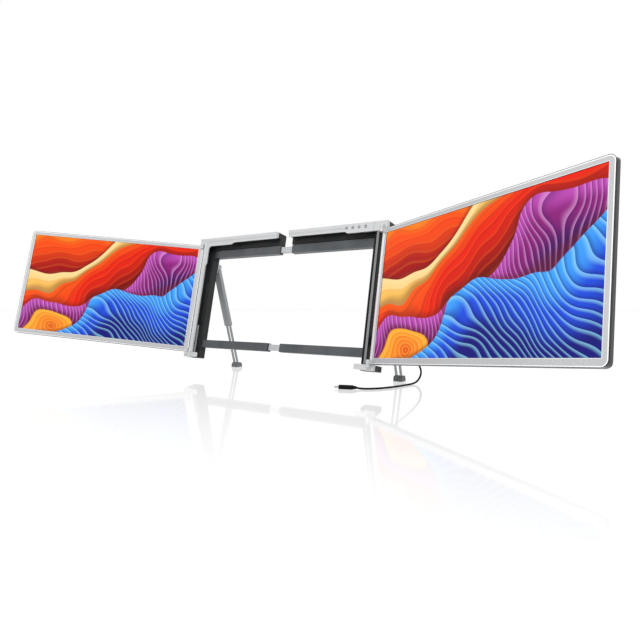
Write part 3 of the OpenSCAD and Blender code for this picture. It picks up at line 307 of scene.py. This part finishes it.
# Green solder mask over glass-epoxy board: glossy, with the weave faint under it
solder_mask = finish_of("solder_mask", "#0C4A22", "#156A33", 0.36, grain_mm=1.4, depth_mm=0.02)
# White polycarbonate of the backlight trays: smooth and milky
polycarbonate = finish_of(
    "white_polycarbonate", "#DCDCD8", "#EDEDEA", 0.4, grain_mm=0.8, depth_mm=0.01)
# Satin ABS of the four buttons, painted a mid grey against the silver as the shade in their
# recesses
painted_shade_button_abs = finish_of(
    "satin_abs_button", "#8E9193", "#A2A5A7", 0.34, metallic=0.1, grain_mm=0.5,
    depth_mm=0.006)
# Black mask printed behind the glass round the lit area: black and glossy
black_mask = finish_of(
    "black_glass_mask", "#060607", "#0B0B0C", 0.14, grain_mm=2.0, depth_mm=0.001, spread=0.02)


# ---- The picture on the screens: ribbed waves and blooms, laid one over another ----

def crest(tree, axes, place):
    """How far below a waved line each point of the picture lies."""
    base, swell, waves, phase, slope = place
    turn = add(tree, "ShaderNodeMath", {0: axes[0], 1: waves, 2: phase}, operation="MULTIPLY_ADD")
    wave = add(tree, "ShaderNodeMath", {0: turn.outputs[0]}, operation="SINE")
    line = add(tree, "ShaderNodeMath", {
        0: wave.outputs[0], 1: swell, 2: base}, operation="MULTIPLY_ADD")
    tilt = add(tree, "ShaderNodeMath", {
        0: axes[0], 1: slope, 2: line.outputs[0]}, operation="MULTIPLY_ADD")
    below = add(tree, "ShaderNodeMath", {0: tilt.outputs[0], 1: axes[1]}, operation="SUBTRACT")
    return below.outputs[0]


def bloom(tree, spot, place):
    """How far inside a soft round edge each point of the picture lies."""
    across, up, radius, squeeze = place
    off = add(tree, "ShaderNodeVectorMath", {0: spot, 1: (across, up, 0)}, operation="SUBTRACT")
    oval = add(tree, "ShaderNodeVectorMath", {
        0: off.outputs[0], 1: (squeeze, 1, 0)}, operation="MULTIPLY")
    reach = add(tree, "ShaderNodeVectorMath", {0: oval.outputs[0]}, operation="LENGTH")
    inside = add(tree, "ShaderNodeMath", {
        0: radius, 1: reach.outputs["Value"]}, operation="SUBTRACT")
    return inside.outputs[0]


# The shade that a field casts before its edge: how far it reaches, how deep it is, and its tone
SHADE_REACH, SHADE_DEPTH, SHADE_TONE = 0.07, 0.55, "#6A1206"
# Half the width over which a field's edge is smoothed
EDGE_BLUR = 0.0015
# Share of a rib where its lit ridge starts, and where its sunk furrow ends
RIDGE_FROM, FURROW_TO = 0.55, 0.42


def lay(tree, depth, along, picture, width, ribs, stops):
    """Lays one ribbed field of colour over the picture, with a soft shade cast before its edge."""
    fade = add(tree, "ShaderNodeMapRange", {"Value": depth, "From Max": width})
    ramp = add(tree, "ShaderNodeValToRGB", {"Fac": fade.outputs[0]})
    ramp.color_ramp.interpolation = "EASE"
    for i, (at, code) in enumerate(stops):
        stop = ramp.color_ramp.elements[i] if i < 2 else ramp.color_ramp.elements.new(at)
        stop.position, stop.color = at, tone(code)
    # Ribs run along the field: a lit ridge and a sunk furrow in each
    count, rake, relief, lit = ribs
    run = add(tree, "ShaderNodeMath", {0: along, 1: count}, operation="MULTIPLY")
    raked = add(tree, "ShaderNodeMath", {
        0: depth, 1: rake, 2: run.outputs[0]}, operation="MULTIPLY_ADD")
    step = add(tree, "ShaderNodeMath", {0: raked.outputs[0]}, operation="FRACT")
    ridge = add(tree, "ShaderNodeMapRange", {
        "Value": step.outputs[0], "From Min": RIDGE_FROM, "To Max": relief},
        interpolation_type="SMOOTHSTEP")
    furrow = add(tree, "ShaderNodeMapRange", {
        "Value": step.outputs[0], "From Min": FURROW_TO, "From Max": 0.0, "To Max": relief},
        interpolation_type="SMOOTHSTEP")
    raised = add(tree, "ShaderNodeMix", {
        "Factor": ridge.outputs[0], "A": ramp.outputs["Color"], "B": tone(lit)}, data_type="RGBA")
    sunk = add(tree, "ShaderNodeMix", {
        "Factor": furrow.outputs[0], "A": raised.outputs["Result"], "B": tone(stops[1][1])},
        data_type="RGBA")
    shade = add(tree, "ShaderNodeMapRange", {
        "Value": depth, "From Min": -SHADE_REACH, "From Max": 0.0, "To Max": SHADE_DEPTH},
        interpolation_type="SMOOTHERSTEP")
    dark = add(tree, "ShaderNodeMix", {
        "Factor": shade.outputs[0], "A": picture, "B": tone(SHADE_TONE)}, data_type="RGBA")
    cover = add(tree, "ShaderNodeMapRange", {
        "Value": depth, "From Min": -EDGE_BLUR, "From Max": EDGE_BLUR})
    return add(tree, "ShaderNodeMix", {
        "Factor": cover.outputs[0], "A": dark.outputs["Result"], "B": sunk.outputs["Result"]},
        data_type="RGBA").outputs["Result"]


# Fields in the order they are laid, in picture heights. A crest gives height, swell, waves, phase
# and slope; a bloom gives across, up, radius and squeeze. Then come the width of its fade, its
# ribs (count, rake, relief, lit tone) and its tones (place, colour).
FIELDS = (
    (crest, (1.42, 0.10, 4.1, 0.3, -0.12), 0.5, (9, 17, 0.5, "#8FE2FF"),
     [(0, "#5FD0FF"), (1, "#2416A0"), (0.4, "#1E4FE0")]),
    (crest, (1.16, 0.12, 3.7, 2.6, -0.16), 0.44, (20, -9, 0.5, "#E3B8FF"),
     [(0, "#B07BE8"), (1, "#3C0A66"), (0.4, "#7A1FA0")]),
    (crest, (0.97, 0.11, 3.1, 4.9, -0.10), 0.34, (3, 34, 0.55, "#FFD477"),
     [(0, "#FFC247"), (1, "#F07A00"), (0.5, "#FFA81E")]),
    (crest, (0.78, 0.15, 3.4, 0.2, 0.0), 0.44, (0.5, 11, 0.22, "#FF7A1C"),
     [(0, "#FF8A14"), (1, "#A80000"), (0.3, "#FF4A00")]),
    (bloom, (1.32, 0.62, 0.40, 0.8), 0.4, (0, 14, 0.25, "#FF5A1A"),
     [(0, "#FF6A10"), (1, "#8A0000"), (0.3, "#F42A00")]),
    (bloom, (1.36, 0.66, 0.21, 0.8), 0.2, (0, 9, 0.2, "#FFE9B8"),
     [(0, "#FFE3A0"), (1, "#FF9A1A"), (0.5, "#FFCB66")]),
    (crest, (0.50, 0.13, 3.9, 2.2, 0.02), 0.24, (0.3, 12, 0.22, "#FFF0BE"),
     [(0, "#FFE3A0"), (1, "#FF8A14"), (0.5, "#FFC65A")]),
    (crest, (0.37, 0.12, 3.9, 2.5, 0.02), 0.40, (1.2, 16, 0.3, "#FF5A12"),
     [(0, "#FF5A0A"), (1, "#7A0000"), (0.35, "#F02000")]),
    (crest, (0.15, 0.11, 4.4, 0.6, -0.03), 0.34, (24, 8, 0.5, "#F0A8E8"),
     [(0, "#C24BB8"), (1, "#3A0A5C"), (0.4, "#8E1B7A")]),
    (bloom, (0.30, 0.02, 0.23, 0.9), 0.22, (0, 26, 0.5, "#FFC95C"),
     [(0, "#FFB733"), (1, "#E85A00"), (0.5, "#FF8A1E")]),
    (crest, (-0.10, 0.12, 4.8, 3.1, 0.04), 0.42, (19, -10, 0.55, "#9FE6FF"),
     [(0, "#3FA4FF"), (1, "#14127A"), (0.4, "#1E4FE0")]),
)


# The whole picture is bent by a slow noise, this many waves to its height, and then turned
BEND_WAVES, BEND = 1.7, 0.5
PICTURE_TURN = math.radians(-24)


def lit_screen():
    """The lit panel: a made-up picture glowing evenly behind an anti-glare film."""
    made, tree, out = blank("lit_display_panel")
    place = add(tree, "ShaderNodeUVMap", uv_map="panel")
    soft = add(tree, "ShaderNodeTexNoise", {
        "Vector": place.outputs[0], "Scale": BEND_WAVES, "Detail": 1.0})
    drift = add(tree, "ShaderNodeVectorMath", {
        0: soft.outputs["Color"], 1: (0.5, 0.5, 0.5)}, operation="SUBTRACT")
    bent = add(tree, "ShaderNodeVectorMath", {
        0: drift.outputs[0], 1: (BEND, BEND, 0), 2: place.outputs[0]}, operation="MULTIPLY_ADD")
    turned = add(tree, "ShaderNodeVectorRotate", {
        "Vector": bent.outputs[0], "Angle": PICTURE_TURN}, rotation_type="Z_AXIS")
    axes = add(tree, "ShaderNodeSeparateXYZ", {0: turned.outputs[0]}).outputs
    # Behind the fields lies a plain amber ground
    picture = add(tree, "ShaderNodeMix", {
        "Factor": axes[1], "A": tone("#FFB733"), "B": tone("#FF8A1E")},
        data_type="RGBA").outputs["Result"]
    for shape, at, width, ribs, stops in FIELDS:
        depth = shape(tree, axes if shape is crest else bent.outputs[0], at)
        picture = lay(tree, depth, axes[0], picture, width, ribs, stops)
    # The film keeps the white room from veiling the picture
    shader = add(tree, "ShaderNodeBsdfPrincipled", {
        "Base Color": tone("#050506"), "Roughness": 0.3, "Specular IOR Level": 0.12,
        "Emission Color": picture, "Emission Strength": 1.0})
    tree.links.new(shader.outputs[0], out.inputs["Surface"])
    return made


display = lit_screen()


# ---- Cord: out of the right post's boot, down to the table and forwards under the frame ----

CORD_R = 1.5
CORD_Z = TABLE_Z + CORD_R
ROUTE = [
    (198.5, 43.4, 37.0), (198.6, 50, 35.4), (199.6, 62, 31.6), (203, 78, 25.4),
    (209, 94, 16.8), (215.5, 107, 7.2), (220, 115.5, -3), (221.8, 117, -13),
    (220.8, 112.5, -21.6), (218.6, 104.5, -26.8), (216, 93, CORD_Z), (213.6, 79, CORD_Z),
    (210.6, 64, CORD_Z), (206.8, 50, CORD_Z), (201.6, 37, CORD_Z), (195.6, 25.5, CORD_Z),
    (187.4, 15.4, CORD_Z), (176, 9.4, CORD_Z), (168, 6.4, CORD_Z + 1.2),
]
ROUTE_STEPS = 3


def smooth_route(points, steps):
    """Points on one smooth curve through the route, in this many steps from point to point."""
    rail = [Vector(p) for p in points]
    rail = [rail[0]] + rail + [rail[-1]]
    found = []
    for a, b, c, d in zip(rail, rail[1:], rail[2:], rail[3:]):
        for j in range(steps):
            t = j / steps
            found.append((2 * b + (c - a) * t + (2 * a - 5 * b + 4 * c - d) * t * t
                          + (3 * b - a - 3 * c + d) * t ** 3) / 2)
    return found + [rail[-1]]


cord_points = [p * MM for p in smooth_route(ROUTE, ROUTE_STEPS)]
cord_line = bpy.data.curves.new("cord_jacket", "CURVE")
cord_line.dimensions = "3D"
cord_line.bevel_depth = CORD_R * MM
cord_line.bevel_resolution = 4
cord_line.use_fill_caps = True
run = cord_line.splines.new("POLY")
run.points.add(len(cord_points) - 1)
for spot, p in zip(run.points, cord_points):
    spot.co = (*p, 1)
run.use_smooth = True
cord = bpy.data.objects.new("cord_jacket", cord_line)
scene.collection.objects.link(cord)
cord_line.materials.append(tpe_jacket)
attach(cord, "right_frame")
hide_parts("cord")


# ---- Displays ----

def piece(name, bm, place, body, slot, replaced, *materials):
    """Turns a mesh drawn in one of the frames into a piece that rides on a body."""
    mesh = bpy.data.meshes.new(name)
    bm.transform(place)
    bmesh.ops.recalc_face_normals(bm, faces=bm.faces)
    bm.to_mesh(mesh)
    bm.free()
    made = bpy.data.objects.new(name, mesh)
    scene.collection.objects.link(made)
    for material in materials:
        mesh.materials.append(material)
    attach(made, body)
    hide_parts(replaced)


def display_panel(side):
    """A display behind its bezel, its face a lit area with the printed mask round it."""
    bm = bmesh.new()
    panel_uv = bm.loops.layers.uv.new("panel")
    u0, u1 = ACT_U - GLASS_OVER, ACT_U + ACTIVE_W + GLASS_OVER
    z0, z1 = ACT_Z - GLASS_OVER, ACT_Z + ACTIVE_H + GLASS_OVER
    rings = []
    for inset, y in ((0, BEZEL_T), (0, GLASS_IN), (GLASS_OVER + MASK, GLASS_IN)):
        rings.append([bm.verts.new(v) for v in (
            (u0 + inset, y, z0 + inset), (u1 - inset, y, z0 + inset),
            (u1 - inset, y, z1 - inset), (u0 + inset, y, z1 - inset))])
    bm.faces.new(rings[0])
    for near, far in zip(rings, rings[1:]):
        for i in range(4):
            bm.faces.new((near[i], near[(i + 1) % 4], far[(i + 1) % 4], far[i]))
    lit = bm.faces.new(rings[2])
    lit.material_index = 1
    for loop in lit.loops:
        u, _, z = loop.vert.co
        across = (u - ACT_U) / ACTIVE_H
        if side == "left":
            across = ACTIVE_W / ACTIVE_H - across
        loop[panel_uv].uv = (across, (z - ACT_Z) / ACTIVE_H)
    return bm


for side in SWING:
    piece(side + "_display_panel", display_panel(side), hung(side), side + "_monitor", "screen",
          side + "_screen", black_mask, display)


# ---- Screws: round heads with a cross recess, sunk in their counterbores ----

# A screw head in shares of its radius: half width, reach and depth of its cross recess, the size
# of the recess's floor against its mouth, the chamfer, and the dish of the top
CROSS_HALF, CROSS_REACH, CROSS_DEEP, CROSS_FLOOR = 0.17, 0.62, 0.34, 0.78
CHAMFER, DISH = 0.14, 0.05
# Radius and height of the heads on the frame, on its raised bases and on the monitors
CASE_R, CASE_H = 2.0, 1.2
BASE_H = 0.7
MINI_R, MINI_H = 1.6, 0.7
# Turn of the first head and from one head to the next, in radians, as hand-driven screws end up
CASE_TURN, BASE_TURN, FRAME_STEP, MINI_STEP = 0.5, 0.2, 1.0, 0.7


def cross_reach(turn, radius):
    """Distance from a screw's middle to the edge of its cross recess at one angle."""
    half, reach = radius * CROSS_HALF, radius * CROSS_REACH
    off = abs((turn + math.pi / 4) % (math.pi / 2) - math.pi / 4)
    return reach / math.cos(off) if math.tan(off) <= half / reach else half / math.sin(off)


def screw_head(bm, at, turn, radius, height):
    """A chamfered round head with a cross recess, its top at a point and facing back."""
    # Points lie on each arm's middle and corners, and between the arms
    corner = math.atan(CROSS_HALF / CROSS_REACH)
    spread = [0, corner, (corner + math.pi / 4) / 2, math.pi / 4]
    angles = [q * math.pi / 2 + a for q in range(4)
              for a in spread + [math.pi / 2 - b for b in spread[2:0:-1]]]
    rings = []
    for depth, reach in (
            (height, lambda a: radius), (radius * CHAMFER, lambda a: radius),
            (radius * DISH, lambda a: radius * (1 - CHAMFER)),
            (radius * DISH / 2, lambda a: cross_reach(a, radius)),
            (radius * CROSS_DEEP, lambda a: CROSS_FLOOR * cross_reach(a, radius))):
        rings.append([bm.verts.new((at[0] + reach(a) * math.cos(a + turn), at[1] - depth,
                                    at[2] + reach(a) * math.sin(a + turn))) for a in angles])
    for near, far in zip(rings, rings[1:]):
        for i, spot in enumerate(near):
            j = (i + 1) % len(near)
            bm.faces.new((spot, near[j], far[j], far[i]))
    for ring, depth in ((rings[0], height), (rings[-1], radius * CROSS_DEEP)):
        middle = bm.verts.new((at[0], at[1] - depth, at[2]))
        for i, spot in enumerate(ring):
            bm.faces.new((spot, ring[(i + 1) % len(ring)], middle))


for side in SWING:
    bm = bmesh.new()
    for i, (x, z) in enumerate(CASE_HEADS):
        screw_head(bm, (x, FRAME_D, z), CASE_TURN + FRAME_STEP * i, CASE_R, CASE_H)
    for i, (x, z) in enumerate(BASE_HEADS):
        screw_head(bm, (x, BASE_Y, z), BASE_TURN + FRAME_STEP * i, CASE_R, BASE_H)
    piece(side + "_case_screw_heads", bm, sided(side), side + "_frame", "screws",
          side + "_case_screws", black_oxide)
    bm = bmesh.new()
    for i, (u, z) in enumerate(RIM_HEADS + LEAF_HEADS):
        screw_head(bm, (u, MON_T, z), MINI_STEP * i, MINI_R, MINI_H)
    piece(side + "_monitor_screw_heads", bm, hung(side), side + "_monitor", "screws",
          side + "_monitor_screws", black_oxide)


# ---- Finishes and soft edges of the CAD's own pieces ----

# Each finish with the width of its soft edges in millimetres, and the pieces that have it
FINISHES = [
    (anodised_silver, 0.3, ["left_front_shell", "right_front_shell", "right_corner_cap",
                            "right_lower_cap", "left_clip", "right_clip", "left_hinge_brackets",
                            "right_hinge_brackets", "left_hinge_leaves", "right_hinge_leaves",
                            "left_hinge_pins", "right_hinge_pins"]),
    (anodised_bezel["left"], 0.4, ["left_bezel"]),
    (anodised_bezel["right"], 0.4, ["right_bezel"]),
    (anodised_leg, 0.4, ["left_leg", "right_leg", "left_fork", "right_fork"]),
    (textured_abs, 0.35, ["left_mid_frame", "right_mid_frame", "left_rear_cover",
                          "right_rear_cover", "left_end_cap", "right_end_cap", "cable_pod"]),
    # The right post and its strip are painted dark as shade
    (post_painted_shade_abs, 0.35, ["right_post_shell"]),
    (lacquered_abs, 0.4, ["left_rear_shell", "right_rear_shell"]),
    (post_strip_painted_shade, 0.15, ["right_post_strip"]),
    (nitrile, 0.15, ["left_lid_pads", "right_lid_pads", "left_clip_pad", "right_clip_pad"]),
    (foot_rubber, 0.6, ["left_foot", "right_foot"]),
    (tpe_jacket, 0.6, ["far_plug"]),
    (tpe_jacket, 0, ["cord_boot"]),
    (stainless, 0.25, ["left_leg_bracket", "right_leg_bracket", "far_tongue"]),
    (stainless, 0.3, ["right_rail_bars"]),
    (hard_anodised, 0.3, ["left_rail_channels", "right_rail_channels"]),
    (solder_mask, 0, ["left_driver_board", "right_driver_board", "control_board", "main_board"]),
    (polycarbonate, 0.2, ["left_backlight_tray", "right_backlight_tray"]),
    (painted_shade_button_abs, 0.25, ["menu_button", "down_button", "up_button", "power_button"]),
]
for material, bevel, nodes in FINISHES:
    for name in nodes:
        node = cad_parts[name]
        node.data.materials.clear()
        node.data.materials.append(material)
        if bevel:
            edge = node.modifiers.new("edge", "BEVEL")
            edge.width, edge.segments, edge.limit_method = bevel * MM, 2, "ANGLE"
            edge.angle_limit = math.radians(30)
            edge.harden_normals = True


# ---- Floor, light and background ----

# Brightness of the white studio as a light, and of its floor and its sky where they are looked at
STUDIO, FLOOR_SEEN, SKY_SEEN = 0.5, 1.13, 1.0
# Half the floor's width in metres, and its height in millimetres, a hair under the table top
FLOOR_HALF, FLOOR_Z = 30.0, TABLE_Z - 0.1
# Share of the floor's own glow, and the strength and roughness of its mirror
GLOW, MIRROR, MIRROR_ROUGH = 0.85, 0.34, 0.06
# The mirror comes in between these places, in metres from front to back
MIRROR_START, MIRROR_FULL = -0.5, -0.05


def backdrop_level(tree, seen_level, *watched):
    """Strength of a backdrop: one level as a light, another along the kinds of ray that show it."""
    rays = add(tree, "ShaderNodeLightPath").outputs
    seen = rays[watched[0]]
    for kind in watched[1:]:
        seen = add(tree, "ShaderNodeMath", {0: seen, 1: rays[kind]}, operation="MAXIMUM").outputs[0]
    level = add(tree, "ShaderNodeMapRange", {
        "Value": seen, "To Min": STUDIO, "To Max": seen_level})
    return level.outputs[0]


def glossy_floor():
    """White lacquered table top, whose faint mirror fades out towards its front."""
    made, tree, out = blank("white_lacquer_floor")
    level = backdrop_level(tree, FLOOR_SEEN, "Is Camera Ray", "Is Glossy Ray")
    body = add(tree, "ShaderNodeBsdfDiffuse", {"Color": (0.9, 0.9, 0.9, 1)})
    glow = add(tree, "ShaderNodeEmission", {"Color": (1, 1, 1, 1), "Strength": level})
    base = add(tree, "ShaderNodeMixShader", {0: GLOW, 1: body.outputs[0], 2: glow.outputs[0]})
    lacquer = add(tree, "ShaderNodeBsdfGlossy", {
        "Color": (1, 1, 1, 1), "Roughness": MIRROR_ROUGH})
    place = add(tree, "ShaderNodeTexCoord")
    reach = add(tree, "ShaderNodeSeparateXYZ", {0: place.outputs["Object"]})
    polish = add(tree, "ShaderNodeMapRange", {
        "Value": reach.outputs["Y"], "From Min": MIRROR_START, "From Max": MIRROR_FULL,
        "To Max": MIRROR})
    seen = add(tree, "ShaderNodeMixShader", {
        0: polish.outputs[0], 1: base.outputs[0], 2: lacquer.outputs[0]})
    tree.links.new(seen.outputs[0], out.inputs["Surface"])
    return made


bm = bmesh.new()
bmesh.ops.create_grid(bm, x_segments=1, y_segments=1, size=FLOOR_HALF)
floor_mesh = bpy.data.meshes.new("floor")
bm.to_mesh(floor_mesh)
bm.free()
floor = bpy.data.objects.new("floor", floor_mesh)
floor.location = (0, 0, FLOOR_Z * MM)
scene.collection.objects.link(floor)
floor_mesh.materials.append(glossy_floor())

world = bpy.data.worlds.new("studio")
scene.world = world
world.use_nodes = True
sky = world.node_tree
sky.nodes.clear()
level = backdrop_level(sky, SKY_SEEN, "Is Camera Ray", "Is Glossy Ray", "Is Transmission Ray")
air = add(sky, "ShaderNodeBackground", {"Color": (1, 1, 1, 1), "Strength": level})
add(sky, "ShaderNodeOutputWorld", {0: air.outputs[0]})


def lamp(name, at, aim, size, watts):
    """A soft square studio lamp, in metres, aimed at a point."""
    light = bpy.data.lights.new(name, "AREA")
    light.size, light.energy = size, watts
    made = bpy.data.objects.new(name, light)
    scene.collection.objects.link(made)
    made.location = at
    made.rotation_euler = (Vector(aim) - Vector(at)).to_track_quat("-Z", "Y").to_euler()


lamp("key", (0.6, -1.0, 1.5), (0.05, 0, 0.1), 1.0, 17)
lamp("fill", (-0.9, -1.2, 0.9), (-0.1, 0, 0.1), 1.2, 2)
lamp("rim", (0.6, 1.4, 1.2), (0.1, 0, 0.1), 0.8, 7)
